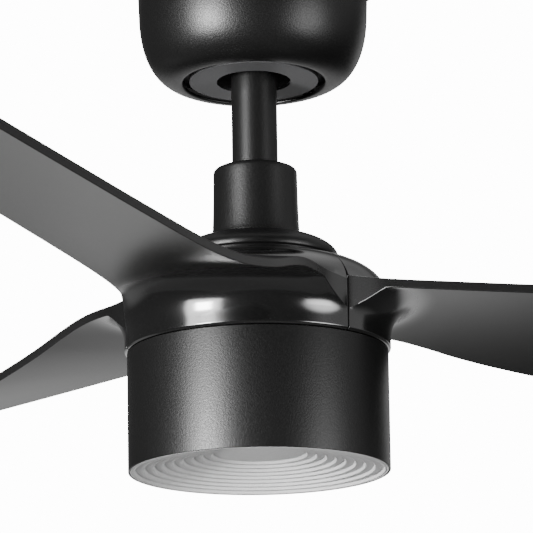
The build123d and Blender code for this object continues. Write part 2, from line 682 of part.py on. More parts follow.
with BuildPart() as blade_shape:
    add(blade_sheet.part)
    add(blade_plan.part, mode=Mode.INTERSECT)
    add(root_fillet.part)
    add(web.part)
    with BuildSketch(root_plane):
        with BuildLine():
            Polyline(
                (HUB_R - HUB_CHAMFER, up(HUB_BOTTOM)),
                (HUB_R, up(HUB_BOTTOM + HUB_CHAMFER)),
                (HUB_R, up(SHOULDER)),
            )
            Spline((HUB_R, up(SHOULDER)), (74.2, up(104.5)), (67.5, up(112.2)), (56, up(117.8)),
                   (46, up(FLANGE_TOP)), tangents=((0, 1), (-1, 0)))
            Polyline((46, up(FLANGE_TOP)), (FLANGE_R, up(FLANGE_TOP)), (FLANGE_R, up(MOTOR_TOP)),
                     (46, up(MOTOR_TOP)), (MOTOR_R + 0.3, up(MOTOR_TOP)), (MOTOR_R + 0.3, up(112)))
            Spline((MOTOR_R + 0.3, up(112)), (66.5, up(107)), (HUB_R - HUB_WALL, up(SHOULDER)),
                   tangents=((1, -0.3), (0, -1)))
            Polyline((HUB_R - HUB_WALL, up(SHOULDER)), (HUB_R - HUB_WALL, up(HUB_BOTTOM)),
                     (HUB_R - HUB_CHAMFER, up(HUB_BOTTOM)))
        make_face()
    revolve(axis=Axis.Z, revolution_arc=2 * SEAM_HALF)
    with Locations((0, 0, up(MOTOR_TOP - 1))):
        with Locations(*[(BLADE_SCREW_R * cos(radians(a)), BLADE_SCREW_R * sin(radians(a)), 0)
                         for a in (-30, 30)]):
            Cylinder(2.7, 10, align=BASE, mode=Mode.SUBTRACT)

for number in range(BLADES):
    with BuildPart() as blade:
        add(blade_shape.part, rotation=(0, 0, 360 / BLADES * number))
    blade.part.label = f"blade_{number + 1}"
    export_step(blade.part, f"parts/blade_{number + 1}.step")

with BuildPart() as blade_screws:
    with PolarLocations(BLADE_SCREW_R, 6, start_angle=30):
        with Locations((0, 0, up(FLANGE_TOP))):
            Cylinder(4.4, 2.4, align=BASE)
        with Locations((0, 0, up(MOTOR_TOP - 3.9))):
            Cylinder(2.0, FLANGE_TOP - MOTOR_TOP + 3.9, align=BASE)
blade_screws.part.label = "blade_screws"
export_step(blade_screws.part, "parts/blade_screws.step")

CAP_RIM_R = 47.4
CAP_HOLE_R = 21.5
CAP_TOP = 135.2
with BuildPart() as rotor_cap:
    with BuildSketch(Plane.XZ):
        with BuildLine():
            Polyline((CAP_HOLE_R, up(CAP_TOP) - 2), (CAP_HOLE_R, up(CAP_TOP)), (30, up(CAP_TOP)))
            Spline((30, up(CAP_TOP)), (40, up(132.9)), (CAP_RIM_R, up(125.0)),
                   tangents=((1, 0), (0, -1)))
            Polyline((CAP_RIM_R, up(125.0)), (46.9, up(122.6)), (46.0, up(122.4)),
                     (46.0, up(FLANGE_TOP) + 0.3), (44.4, up(FLANGE_TOP) + 0.3), (44.4, up(124.5)))
            Spline((44.4, up(124.5)), (38.8, up(131.2)), (30, up(CAP_TOP) - 2),
                   tangents=((0, 1), (-1, 0)))
            Line((30, up(CAP_TOP) - 2), (CAP_HOLE_R, up(CAP_TOP) - 2))
        make_face()
    revolve(axis=Axis.Z)
rotor_cap.part.label = "rotor_cap"
export_step(rotor_cap.part, "parts/rotor_cap.step")

# ---------------------------------------------------------------- light

with BuildPart() as light_plate:
    with Locations((0, 0, up(DRUM_TOP))):
        Cylinder(LIGHT_PLATE_R, LIGHT_PLATE_TOP - DRUM_TOP, align=BASE)
        Cylinder(SHAFT_R + 0.05, 10, align=BASE, mode=Mode.SUBTRACT)
        with PolarLocations(LAMP_SCREW_R, 3, start_angle=60):
            Cylinder(2.0, 10, align=BASE, mode=Mode.SUBTRACT)
light_plate.part.label = "light_plate"
export_step(light_plate.part, "parts/light_plate.step")

with BuildPart() as shaft_nut:
    with BuildSketch(Plane.XY.offset(up(DRUM_TOP - 6))):
        RegularPolygon(12.5, 6)
        Circle(SHAFT_R + 0.02, mode=Mode.SUBTRACT)
    extrude(amount=6)
shaft_nut.part.label = "shaft_nut"
export_step(shaft_nut.part, "parts/shaft_nut.step")

with BuildPart() as light_housing:
    with BuildSketch(Plane.XZ):
        with BuildLine():
            Line((DRUM_R - 0.3, up(0)), (DRUM_R, up(DRUM_TOP - DRUM_CHAMFER)))
            Line((DRUM_R, up(DRUM_TOP - DRUM_CHAMFER)), (DRUM_R - DRUM_CHAMFER, up(DRUM_TOP)))
            Polyline(
                (DRUM_R - DRUM_CHAMFER, up(DRUM_TOP)),
                (18, up(DRUM_TOP)),
                (18, up(DRUM_TOP - 2)),
                (DRUM_R - DRUM_WALL, up(DRUM_TOP - 2)),
                (DRUM_R - DRUM_WALL, up(4)),
                (DRUM_LIP_R - 2.4, up(4)),
                (DRUM_LIP_R - 2.4, up(2.6)),
                (DRUM_LIP_R, up(2.6)),
                (DRUM_LIP_R, up(0)),
                (DRUM_R - 0.3, up(0)),
            )
        make_face()
    revolve(axis=Axis.Z)
    with Locations((0, 0, up(DRUM_TOP - 5))):
        with PolarLocations(LAMP_SCREW_R, 3, start_angle=60):
            Cylinder(2.4, 10, align=BASE, mode=Mode.SUBTRACT)
        with PolarLocations(STANDOFF_R, 3):
            Cylinder(1.7, 10, align=BASE, mode=Mode.SUBTRACT)
light_housing.part.label = "light_housing"
export_step(light_housing.part, "parts/light_housing.step")

with BuildPart() as lamp_screws:
    with PolarLocations(LAMP_SCREW_R, 3, start_angle=60):
        with Locations((0, 0, up(DRUM_TOP - 4.2))):
            Cylinder(3.8, 2.2, align=BASE)
        with Locations((0, 0, up(DRUM_TOP - 2))):
            Cylinder(1.95, 4.5, align=BASE)
lamp_screws.part.label = "lamp_screws"
export_step(lamp_screws.part, "parts/lamp_screws.step")

with BuildPart() as standoffs:
    with PolarLocations(STANDOFF_R, 3):
        with Locations((0, 0, up(HEAT_PLATE_TOP))):
            Cylinder(3.0, DRUM_TOP - 2 - HEAT_PLATE_TOP, align=BASE)
        with Locations((0, 0, up(HEAT_PLATE_BOTTOM + 0.2))):
            Cylinder(1.6, HEAT_PLATE_TOP - HEAT_PLATE_BOTTOM - 0.2, align=BASE)
        with Locations((0, 0, up(DRUM_TOP - 2))):
            Cylinder(1.6, 1.9, align=BASE)
standoffs.part.label = "standoffs"
export_step(standoffs.part, "parts/standoffs.step")

with BuildPart() as heat_plate:
    with Locations((0, 0, up(HEAT_PLATE_BOTTOM))):
        Cylinder(HEAT_PLATE_R, HEAT_PLATE_TOP - HEAT_PLATE_BOTTOM, align=BASE)
        with PolarLocations(STANDOFF_R, 3):
            Cylinder(1.7, 10, align=BASE, mode=Mode.SUBTRACT)
        with Locations((0, 26, 0)):
            Cylinder(3.0, 10, align=BASE, mode=Mode.SUBTRACT)
heat_plate.part.label = "heat_plate"
export_step(heat_plate.part, "parts/heat_plate.step")

BOARD_BOTTOM = HEAT_PLATE_BOTTOM - 1.6
with BuildPart() as led_board:
    with Locations((0, 0, up(BOARD_BOTTOM))):
        Cylinder(52, 1.6, align=BASE)
        with Locations((0, 26, 0)):
            Cylinder(3.0, 10, align=BASE, mode=Mode.SUBTRACT)
led_board.part.label = "led_board"
export_step(led_board.part, "parts/led_board.step")

with BuildPart() as led_chips:
    for circle_r, chips in ((16, 6), (36, 12), (46, 18)):
        with Locations((0, 0, up(BOARD_BOTTOM - 0.8))):
            with PolarLocations(circle_r, chips, start_angle=10):
                Box(2.8, 3.5, 0.8, align=BASE)
led_chips.part.label = "led_chips"
export_step(led_chips.part, "parts/led_chips.step")

with BuildPart() as led_driver:
    with Locations((0, -28, up(HEAT_PLATE_TOP))):
        Box(72, 32, 20, align=BASE)
    fillet(led_driver.edges().filter_by(Axis.Z), 2.5)
    chamfer(led_driver.faces().sort_by(Axis.Z)[-1].edges(), 1.0)
led_driver.part.label = "led_driver"
export_step(led_driver.part, "parts/led_driver.step")

with BuildPart() as light_plug:
    with Locations((0, 0, up(SHAFT_BOTTOM - 13))):
        Box(12, 9, 12, align=BASE)
    fillet(light_plug.edges().filter_by(Axis.Z), 1.2)
light_plug.part.label = "light_plug"
export_step(light_plug.part, "parts/light_plug.step")

# The lens is a shallow upward dish of rings, each one step higher than the ring outside it.
with BuildPart() as lens:
    with BuildSketch(Plane.XZ):
        with BuildLine():
            pitch = (LENS_RIM_R - LENS_RIM_WIDE - LENS_CENTRE_R) / (LENS_STEPS - 1)
            low = [(LENS_RIM_R, up(LENS_BOTTOM))]
            for step in range(LENS_STEPS):
                radius = LENS_RIM_R - LENS_RIM_WIDE - pitch * step
                low.append((radius, low[-1][1]))
                low.append((radius - 0.5, low[-1][1] + LENS_STEP))
            centre_height = low[-1][1]
            rising = (centre_height - up(LENS_BOTTOM)) / (LENS_RIM_R - LENS_CENTRE_R)
            Polyline(
                *low,
                (0, centre_height),
                (0, centre_height + LENS_THICK),
                (LENS_CENTRE_R, centre_height + LENS_THICK),
                (LENS_RIM_R - 6, up(LENS_BOTTOM) + LENS_THICK + 6 * rising),
                (LENS_RIM_R, up(LENS_BOTTOM) + LENS_THICK),
                close=True,
            )
        make_face()
    revolve(axis=Axis.Z)
lens.part.label = "lens"
export_step(lens.part, "parts/lens.step")
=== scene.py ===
"""Looks of the ceiling fan with light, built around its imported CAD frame. Metres, +Z up."""

import json
import math

import bmesh
import bpy
from mathutils import Matrix, Vector


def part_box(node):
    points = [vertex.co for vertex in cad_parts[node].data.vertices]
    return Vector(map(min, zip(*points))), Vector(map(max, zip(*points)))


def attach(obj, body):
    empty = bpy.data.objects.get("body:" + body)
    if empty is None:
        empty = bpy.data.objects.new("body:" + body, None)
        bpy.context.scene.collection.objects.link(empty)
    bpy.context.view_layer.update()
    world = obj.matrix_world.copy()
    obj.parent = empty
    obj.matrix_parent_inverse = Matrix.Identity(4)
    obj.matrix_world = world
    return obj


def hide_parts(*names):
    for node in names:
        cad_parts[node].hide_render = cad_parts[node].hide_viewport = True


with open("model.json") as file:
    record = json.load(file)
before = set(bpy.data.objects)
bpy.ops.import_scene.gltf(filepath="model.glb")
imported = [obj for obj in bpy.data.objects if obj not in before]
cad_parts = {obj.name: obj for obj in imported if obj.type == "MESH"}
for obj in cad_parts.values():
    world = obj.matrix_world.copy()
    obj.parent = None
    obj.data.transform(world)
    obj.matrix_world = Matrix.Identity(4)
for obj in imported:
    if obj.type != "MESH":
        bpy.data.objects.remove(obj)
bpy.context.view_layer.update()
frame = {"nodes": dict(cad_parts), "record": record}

MM = 0.001
slot_of = {s["node"]: s["material_slot"] for s in frame["record"]["subparts"]}
LIGHT_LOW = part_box("light_housing")[0].z      # the light's lower rim


# ---------------------------------------------------------------- camera
# The view is from below and in front, with blade_1 to the right.
VIEW_TURN = math.radians(-11.6)       # the camera stands at this turn from straight in front
VIEW_UP = math.radians(12.8)          # and looks up by this angle
VIEW_ROLL = math.radians(0.85)
VIEW_DISTANCE = 1.818
FOCAL_MM = 214.1
SENSOR_MM = 36
NEAREST = 0.05                        # the camera sees nothing closer than this
DRUM_HEIGHT = 0.0695                  # roughly; the view and the softboxes aim from this height
AIM_RIGHT = 0.0057                    # the view's centre, from the top of the drum on the axis
AIM_UP = 0.0493
DRUM_TOP = Vector((0, 0, LIGHT_LOW + DRUM_HEIGHT))


def add_camera():
    right = Vector((math.cos(VIEW_TURN), math.sin(VIEW_TURN), 0))
    back = Vector((-right.y, right.x, 0))
    forward = back * math.cos(VIEW_UP) + Vector((0, 0, math.sin(VIEW_UP)))
    upward = right.cross(forward)
    place = DRUM_TOP - forward * VIEW_DISTANCE
    look = (DRUM_TOP + right * AIM_RIGHT + upward * AIM_UP - place).normalized()
    top = upward * math.cos(VIEW_ROLL) + right * math.sin(VIEW_ROLL)
    side = look.cross(top).normalized()
    top = side.cross(look)
    turn = Matrix((side, top, -look)).transposed().to_4x4()
    data = bpy.data.cameras.new("camera")
    data.lens = FOCAL_MM
    data.sensor_width = SENSOR_MM
    data.clip_start = NEAREST
    camera = bpy.data.objects.new("camera", data)
    camera.matrix_world = Matrix.Translation(place) @ turn
    bpy.context.scene.collection.objects.link(camera)
    bpy.context.scene.camera = camera


add_camera()


# ---------------------------------------------------------------- light
def facing(turn, lift):
    """A unit vector turned right from the view's forward direction, and lifted."""
    angle = VIEW_TURN + math.pi / 2 - math.radians(turn)
    level = math.cos(math.radians(lift))
    return Vector((level * math.cos(angle), level * math.sin(angle), math.sin(math.radians(lift))))


def area_light(name, turn, lift, distance, width, tall, power):
    """A softbox in a direction from the top of the drum, facing it."""
    place = DRUM_TOP + facing(turn, lift) * distance
    data = bpy.data.lights.new(name, "AREA")
    data.shape = "RECTANGLE"
    data.size = width
    data.size_y = tall
    data.energy = power
    lamp = bpy.data.objects.new(name, data)
    lamp.location = place
    lamp.rotation_euler = (DRUM_TOP - place).to_track_quat("-Z", "Y").to_euler()
    bpy.context.scene.collection.objects.link(lamp)


SOFTBOXES = [                 # name, turn, lift, distance, width, height, power in watts
    ("softbox_left", -134, -3, 2.3, 1.25, 1.8, 72),
    ("softbox_core", -135, -7, 2.2, 0.5, 0.7, 92),
    ("softbox_right", 126, -17, 2.3, 0.95, 0.6, 6),
]
for softbox in SOFTBOXES:
    area_light(*softbox)

WORLD_BASE = 0.055            # strength between the glows
SEEN_WHITE = 14.0             # strength of the background where the camera sees it directly
WORLD_GLOWS = [               # turn right from straight ahead, lift, half width, strength
    (0, -13, 30, 0.8),
    (0, 16, 24, 0.28),
    (28, 8, 15, 0.8),
    (58, 46, 34, 0.28),
    (0, 86, 45, 0.7),
    (122, -9, 22, 6.8),
    (95, 20, 45, 0.38),
    (-40, -34, 22, 0.3),
]


def add_world():
    """A dim studio with soft glows round it, and plain white where the camera looks."""
    world = bpy.data.worlds.new("studio")
    bpy.context.scene.world = world
    world.use_nodes = True
    tree = world.node_tree
    tree.nodes.clear()
    coords = tree.nodes.new("ShaderNodeTexCoord")
    total = None
    for turn, lift, wide, strength in WORLD_GLOWS:
        dot = tree.nodes.new("ShaderNodeVectorMath")
        dot.operation = "DOT_PRODUCT"
        dot.inputs[1].default_value = facing(turn, lift)
        tree.links.new(coords.outputs["Generated"], dot.inputs[0])
        glow = tree.nodes.new("ShaderNodeMapRange")
        glow.interpolation_type = "SMOOTHSTEP"
        glow.inputs["From Min"].default_value = math.cos(math.radians(wide))
        glow.inputs["To Max"].default_value = strength
        tree.links.new(dot.outputs["Value"], glow.inputs["Value"])
        add = tree.nodes.new("ShaderNodeMath")
        add.inputs[0].default_value = WORLD_BASE
        if total:
            tree.links.new(total, add.inputs[0])
        tree.links.new(glow.outputs["Result"], add.inputs[1])
        total = add.outputs[0]
    lit = tree.nodes.new("ShaderNodeBackground")
    tree.links.new(total, lit.inputs["Strength"])
    lit.inputs["Color"].default_value = (1, 1, 1, 1)
    seen = tree.nodes.new("ShaderNodeBackground")
    seen.inputs["Color"].default_value = (1, 1, 1, 1)
    seen.inputs["Strength"].default_value = SEEN_WHITE
    path = tree.nodes.new("ShaderNodeLightPath")
    mix = tree.nodes.new("ShaderNodeMixShader")
    out = tree.nodes.new("ShaderNodeOutputWorld")
    tree.links.new(path.outputs["Is Camera Ray"], mix.inputs["Fac"])
    tree.links.new(lit.outputs[0], mix.inputs[1])
    tree.links.new(seen.outputs[0], mix.inputs[2])
    tree.links.new(mix.outputs[0], out.inputs["Surface"])


add_world()


# ---------------------------------------------------------------- materials
NOISE_LOW, NOISE_HIGH = 0.3, 0.7      # most of a noise texture's values lie between these
TINT_LOW, TINT_HIGH = 0.35, 0.65      # a colour changes between these


def material(name, color, roughness, metallic=0.0):
    """A Principled material with the parts that every finish here starts from."""
    made = bpy.data.materials.new(name)
    made.use_nodes = True
    shader = made.node_tree.nodes["Principled BSDF"]
    shader.inputs["Base Color"].default_value = (*color, 1)
    shader.inputs["Roughness"].default_value = roughness
    shader.inputs["Metallic"].default_value = metallic
    return made, made.node_tree, shader


def noise(tree, scale, detail=2.0):
    coords = tree.nodes.new("ShaderNodeTexCoord")
    texture = tree.nodes.new("ShaderNodeTexNoise")
    texture.inputs["Scale"].default_value = scale
    texture.inputs["Detail"].default_value = detail
    tree.links.new(coords.outputs["Object"], texture.inputs["Vector"])
    return texture.outputs["Fac"]


def vary(tree, source, socket, low, high):
    """Maps a noise onto a socket, from low to high."""
    spread = tree.nodes.new("ShaderNodeMapRange")
    spread.inputs["From Min"].default_value = NOISE_LOW
    spread.inputs["From Max"].default_value = NOISE_HIGH
    spread.inputs["To Min"].default_value = low
    spread.inputs["To Max"].default_value = high
    tree.links.new(source, spread.inputs["Value"])
    tree.links.new(spread.outputs["Result"], socket)


def bump(tree, shader, source, depth):
    node = tree.nodes.new("ShaderNodeBump")
    node.inputs["Distance"].default_value = depth
    node.inputs["Strength"].default_value = 1.0
    tree.links.new(source, node.inputs["Height"])
    tree.links.new(node.outputs["Normal"], shader.inputs["Normal"])


def tinted(tree, shader, source, dark, light):
    """Colour between dark and light, following source."""
    ramp = tree.nodes.new("ShaderNodeValToRGB")
    ramp.color_ramp.elements[0].position = TINT_LOW
    ramp.color_ramp.elements[1].position = TINT_HIGH
    ramp.color_ramp.elements[0].color = (*dark, 1)
    ramp.color_ramp.elements[1].color = (*light, 1)
    tree.links.new(source, ramp.inputs["Fac"])
    tree.links.new(ramp.outputs["Color"], shader.inputs["Base Color"])


def plain(name, color, roughness, metallic=0.0, grain=900.0, depth=0.00002):
    """A finish with fine grain in its colour, roughness and relief."""
    made, tree, shader = material(name, color, roughness, metallic)
    fine = noise(tree, grain)
    tinted(tree, shader, fine, [c * 0.85 for c in color], [min(1, c * 1.15) for c in color])
    vary(tree, fine, shader.inputs["Roughness"], roughness - 0.05, roughness + 0.05)
    bump(tree, shader, fine, depth)
    return made


POLISHED_TO = 0.079           # distances from the axis over which the polish fades out
SATIN_FROM = 0.105


def moulded_black():
    """Black plastic, polished round the hub and satin along the blades."""
    made, tree, shader = material("abs_black", (0.004, 0.004, 0.004), 0.3)
    coords = tree.nodes.new("ShaderNodeTexCoord")
    flat = tree.nodes.new("ShaderNodeVectorMath")
    flat.operation = "MULTIPLY"
    flat.inputs[1].default_value = (1, 1, 0)
    length = tree.nodes.new("ShaderNodeVectorMath")
    length.operation = "LENGTH"
    tree.links.new(coords.outputs["Object"], flat.inputs[0])
    tree.links.new(flat.outputs["Vector"], length.inputs[0])

    def along(at_hub, at_blade):
        """A value that changes from the hub's to the blade's over that distance."""
        spread = tree.nodes.new("ShaderNodeMapRange")
        spread.interpolation_type = "SMOOTHSTEP"
        spread.inputs["From Min"].default_value = POLISHED_TO
        spread.inputs["From Max"].default_value = SATIN_FROM
        spread.inputs["To Min"].default_value = at_hub
        spread.inputs["To Max"].default_value = at_blade
        tree.links.new(length.outputs["Value"], spread.inputs["Value"])
        return spread.outputs["Result"]

    satin = along(0.12, 0.34)
    grain = noise(tree, 1500, 3)
    spread = tree.nodes.new("ShaderNodeMath")
    spread.operation = "MULTIPLY_ADD"
    spread.inputs[1].default_value = 0.06
    tree.links.new(grain, spread.inputs[0])
    tree.links.new(satin, spread.inputs[2])
    tree.links.new(spread.outputs["Value"], shader.inputs["Roughness"])
    tree.links.new(spread.outputs["Value"], shader.inputs["Coat Roughness"])
    tinted(tree, shader, noise(tree, 700), (0.0035, 0.0035, 0.0035), (0.005, 0.005, 0.005))
    bump(tree, shader, grain, 0.000003)
    tree.links.new(along(1.0, 0.6), shader.inputs["Specular IOR Level"])
    tree.links.new(along(1.0, 0.1), shader.inputs["Coat Weight"])
    return made


def sprayed_black():
    """Satin paint over metal, with the fine orange peel of a sprayed coat."""
    made, tree, shader = material("painted_black", (0.0045, 0.0045, 0.0045), 0.36)
    peel = noise(tree, 1100, 3)
    tinted(tree, shader, noise(tree, 2500), (0.004, 0.004, 0.004), (0.0055, 0.0055, 0.0055))
    vary(tree, peel, shader.inputs["Roughness"], 0.31, 0.41)
    bump(tree, shader, peel, 0.00009)
    shader.inputs["Specular IOR Level"].default_value = 0.42
    return made


finishes = {
    "painted_black": sprayed_black(),
    "screw_black": plain("screw_black", (0.02, 0.02, 0.02), 0.4, 0.5),
    "abs_black": moulded_black(),
    "ring_grey": plain("ring_grey", (0.09, 0.09, 0.093), 0.6, 0, 2200, 0.00001),
    "zinc_steel": plain("zinc_steel", (0.62, 0.63, 0.64), 0.32, 1.0),
    "bearing_steel": plain("bearing_steel", (0.7, 0.7, 0.71), 0.15, 1.0, 400, 0.000002),
    "nylon": plain("nylon", (0.7, 0.69, 0.65), 0.5),
    "cast_aluminium": plain("cast_aluminium", (0.6, 0.6, 0.61), 0.45, 1.0, 700, 0.00003),
    "electrical_steel": plain("electrical_steel", (0.32, 0.32, 0.34), 0.4, 1.0),
    "copper": plain("copper", (0.72, 0.33, 0.16), 0.3, 1.0),
    "magnet": plain("magnet", (0.12, 0.12, 0.125), 0.6),
    "wire_insulation": plain("wire_insulation", (0.05, 0.05, 0.05), 0.45),
    "box_plastic": plain("box_plastic", (0.8, 0.8, 0.78), 0.5),
    "circuit_board": plain("circuit_board", (0.8, 0.8, 0.78), 0.4),
    "led": plain("led", (0.9, 0.75, 0.3), 0.25),
    "frosted_lens": plain("frosted_lens", (0.74, 0.74, 0.74), 0.5, 0, 3000, 0.000005),
}
for name, node in frame["nodes"].items():
    for slot in node.material_slots:
        slot.material = finishes[slot_of[name]]
    if not node.material_slots:
        node.data.materials.append(finishes[slot_of[name]])


# ---------------------------------------------------------------- mesh helpers
def height(above):
    """z in metres of a height in millimetres above the light's lower rim."""
    return LIGHT_LOW + above * MM


def new_piece(name, mesh, body, slot, *nodes):
    """Links a finished mesh as a piece on a body, in place of CAD nodes."""
    for polygon in mesh.polygons:
        polygon.use_smooth = True
    piece = bpy.data.objects.new(name, mesh)
    bpy.context.scene.collection.objects.link(piece)
    mesh.materials.append(finishes[slot])
    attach(piece, body)
    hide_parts(*nodes)
    return piece


def soften(piece, width):
    """Small rounds on the edges that turn by over 35 degrees, which catch the light."""
    bevel = piece.modifiers.new("rounds", "BEVEL")
    bevel.width = width
    bevel.segments = 3
    bevel.limit_method = "ANGLE"
    bevel.angle_limit = math.radians(35)
    bevel.use_clamp_overlap = False
    bevel.harden_normals = True


def bezier(start, first, second, end, steps):
    """Points of a cubic curve after its start."""
    points = []
    for step in range(1, steps + 1):
        t = step / steps
        weights = ((1 - t) ** 3, 3 * t * (1 - t) ** 2, 3 * t * t * (1 - t), t ** 3)
        points.append(tuple(
            sum(w * p[i] for w, p in zip(weights, (start, first, second, end))) for i in (0, 1)
        ))
    return points


ROUND_STEPS = 5               # straight runs in each round of an outline
TURNED_SEGMENTS = 192         # straight runs in a full turn


def rounded(corners):
    """A closed outline from (radius, height, round) corners; a round of 0 keeps the corner."""
    outline = []
    count = len(corners)
    for index, (r, h, size) in enumerate(corners):
        here = Vector((r, h))
        if size == 0:
            outline.append((r, h))
            continue
        before = (Vector(corners[index - 1][:2]) - here).normalized()
        after = (Vector(corners[(index + 1) % count][:2]) - here).normalized()
        half = before.angle(after) / 2
        reach = size / math.tan(half)
        first, last = here + before * reach, here + after * reach
        centre = here + (before + after).normalized() * size / math.sin(half)
        start, sweep = first - centre, (last - centre).angle_signed(first - centre)
        for step in range(ROUND_STEPS + 1):
            turn = Matrix.Rotation(sweep * step / ROUND_STEPS, 2)
            outline.append(tuple(centre + turn @ start))
    return outline


def turned(name, outline):
    """A mesh turned about the axis from a closed (radius, height) outline in millimetres."""
    build = bmesh.new()
    rings = []
    for index in range(TURNED_SEGMENTS):
        angle = 2 * math.pi * index / TURNED_SEGMENTS
        rings.append([
            build.verts.new((r * MM * math.cos(angle), r * MM * math.sin(angle), height(h)))
            for r, h in outline
        ])
    for index, ring in enumerate(rings):
        following = rings[(index + 1) % TURNED_SEGMENTS]
        for spot in range(len(outline)):
            after = (spot + 1) % len(outline)
            build.faces.new((ring[spot], following[spot], following[after], ring[after]))
    bmesh.ops.remove_doubles(build, verts=build.verts, dist=1e-6)
    bmesh.ops.dissolve_degenerate(build, edges=build.edges, dist=1e-7)
    bmesh.ops.recalc_face_normals(build, faces=build.faces)
    mesh = bpy.data.meshes.new(name)
    build.to_mesh(mesh)
    build.free()
    return mesh


# ---------------------------------------------------------------- turned shells
# Outlines are (radius, height above the light's lower rim) in millimetres.
CEILING = 300                 # height of the ceiling above the light's lower rim
BELL_TOP = 272                # the canopy's bell starts here and its straight skirt ends


def add_canopy():
    """The bell at the ceiling: a straight skirt, a long round and a rolled mouth."""
    outer = [(68.3, CEILING), (67.2, BELL_TOP)]
    outer += bezier((67.2, BELL_TOP), (66.8, 248), (58, 231), (42.6, 231), 36)
    mouth = [(42.0, 231.25), (41.7, 231.8), (41.9, 232.6), (42.6, 233)]
    inner = bezier((43.5, 233), (57, 233), (64.8, 249.5), (65.2, BELL_TOP), 30) + [(66.3, CEILING)]
    new_piece("canopy_shell", turned("canopy_shell", outer + mouth + inner),
              "ceiling_mount", "painted_black", "canopy")


def add_coupling_cover():
    """The flared sleeve over the motor's coupling, with a small lip at its foot."""
    outer = [(24.3, 136.1), (24.8, 136), (25.3, 136.15), (25.6, 136.5)]
    outer += [(25.7, 137), (25.65, 137.6), (25.5, 138.2)]
    side = bezier((25.5, 138.2), (24.9, 142), (24.5, 160), (24.4, 175.4), 16)
    top = bezier((24.4, 175.4), (24.4, 177.2), (23.2, 178.4), (21.4, 178.4), 8)
    hole = [(14.2, 178.4), (13.75, 178.2), (13.75, 176.4), (21.4, 176.4)]
    inner = bezier((21.4, 176.4), (22.3, 176.4), (22.9, 175.9), (22.9, 174.9), 5)
    down = bezier((22.9, 174.9), (23.0, 160), (23.5, 142), (24.1, 136.4), 12)
    new_piece("coupling_shell", turned("coupling_shell", outer + side + top + hole + inner + down),
              "hanging_frame", "painted_black", "coupling_cover")


def add_rotor_cap():
    """The cap on the hub's top: a narrow foot, a step out and a round up to the hole."""
    foot = [(44.6, 119.8), (45.8, 119.8), (46, 120), (46, 122.2)]
    step = [(46.3, 122.5), (46.9, 122.6), (47.3, 123.4), (47.4, 125)]
    rise = bezier((47.4, 125), (47.4, 129.5), (38, 135.2), (30, 135.2), 18)
    hole = [(22.3, 135.2), (21.7, 134.8), (21.5, 134.2), (21.5, 133.2)]
    under = bezier((30, 133.2), (36.5, 133.2), (44.4, 129), (44.4, 124.5), 12)
    new_piece("rotor_cap_shell", turned("rotor_cap_shell", foot + step + rise + hole + under),
              "rotor", "painted_black", "rotor_cap")


def add_drum():
    """The light's painted wall and its top, with a rebate for the lens at the foot."""
    corners = [
        (74.7, 0, 0.35), (75, 68.4, 0.25), (74.6, 68.8, 0.2), (18, 68.8, 0), (18, 66.2, 0),
        (72.8, 66.2, 1), (72.8, 4, 0), (71.4, 4, 0), (71.4, 2.6, 0), (73.8, 2.6, 0), (73.8, 0, 0.3),
    ]
    new_piece("light_drum", turned("light_drum", rounded(corners)),
              "hanging_frame", "painted_black", "light_housing")


LENS_STEPS = 9
LENS_RIM_R = 71.4             # the outermost step
LENS_CENTRE_R = 27.4          # the innermost step
LENS_LOW = 0.4                # height of the outermost flat ring
LENS_RISE = 1.16              # of each step
LENS_THICK = 1.8
# One step from its outer edge inwards: distance in, share of the rise, and height on top of that.
# A fine groove is followed by the riser, a low ridge and the next flat ring.
LENS_STEP = [
    (-0.6, 0, 0), (-0.25, 0, -0.22), (0.1, 0, -0.2), (0.35, 0, 0.3), (0.6, 1, 0),
    (0.9, 1, 0.4), (1.3, 1, 0.42), (1.8, 1, 0.1), (2.3, 1, 0),
]


def add_lens():
    """A frosted lens, stepped upwards to a flat middle."""
    pitch = (LENS_RIM_R - LENS_CENTRE_R) / (LENS_STEPS - 1)
    under = [(73.4, 0.15), (73.1, 0.1), (72.7, 0.15), (72.4, LENS_LOW)]
    for number in range(LENS_STEPS):
        edge, level = LENS_RIM_R - pitch * number, LENS_LOW + LENS_RISE * number
        under += [(edge - inwards, level + LENS_RISE * share + extra) for inwards, share, extra in LENS_STEP]
    middle = LENS_LOW + LENS_RISE * LENS_STEPS
    inside = [(0, middle), (0, middle + LENS_THICK), (26, middle + LENS_THICK), (68, 3.2)]
    new_piece("lens_shell", turned("lens_shell", [(73.5, 1.9), (73.5, 0.25)] + under + inside),
              "hanging_frame", "frosted_lens", "lens")


# ---------------------------------------------------------------- blades
# Millimetres, for blade_1, which points along +X. Heights are above the light's lower rim.
HUB_R = 76.5
HUB_LOW = 70.2                        # the foot of the hub's wall, above a small bevel
DOME_FOOT = 96                        # the wall ends and the dome starts here
DOME_TOP_R, DOME_TOP = 46, 119.5
SEAM_TURN = 59.9                      # degrees each side of a blade's middle
BLADE_THICK = 5.2
CAMBER = 2.5
HALF_CHORD = 57.0
ROOT_BLEND = 80                       # the sections fan out from the wall over this length
TIP_START = 600                       # the outline's rounded tip starts here
TIP_REACH = 58
TIP_POWER = 2.2                       # between an ellipse, 2, and a box
VALLEY = 6.0                          # height over which the blade's top and the dome blend
WEB_BOTTOM = 76.0                     # the underside meets the wall here
WEB_SEAM_LIFT = 5.2                   # and this much higher at a seam
SEAM_FADE = 5.5                       # degrees from a seam over which that dies away
SEAM_REACH = 10                       # length of the straight slope at a seam
COLUMNS = 48                          # strips across a blade, between its lengthwise sections
ROOT_DISTANCES = (0.3, 1, 2, 3.4, 5.2, 7.2, 9.5, 12, 15, 18, 21)      # spots near the wall
OUTER_STEPS = 56                      # from there to the tip, widening
EDGE_ROUND = 0.6
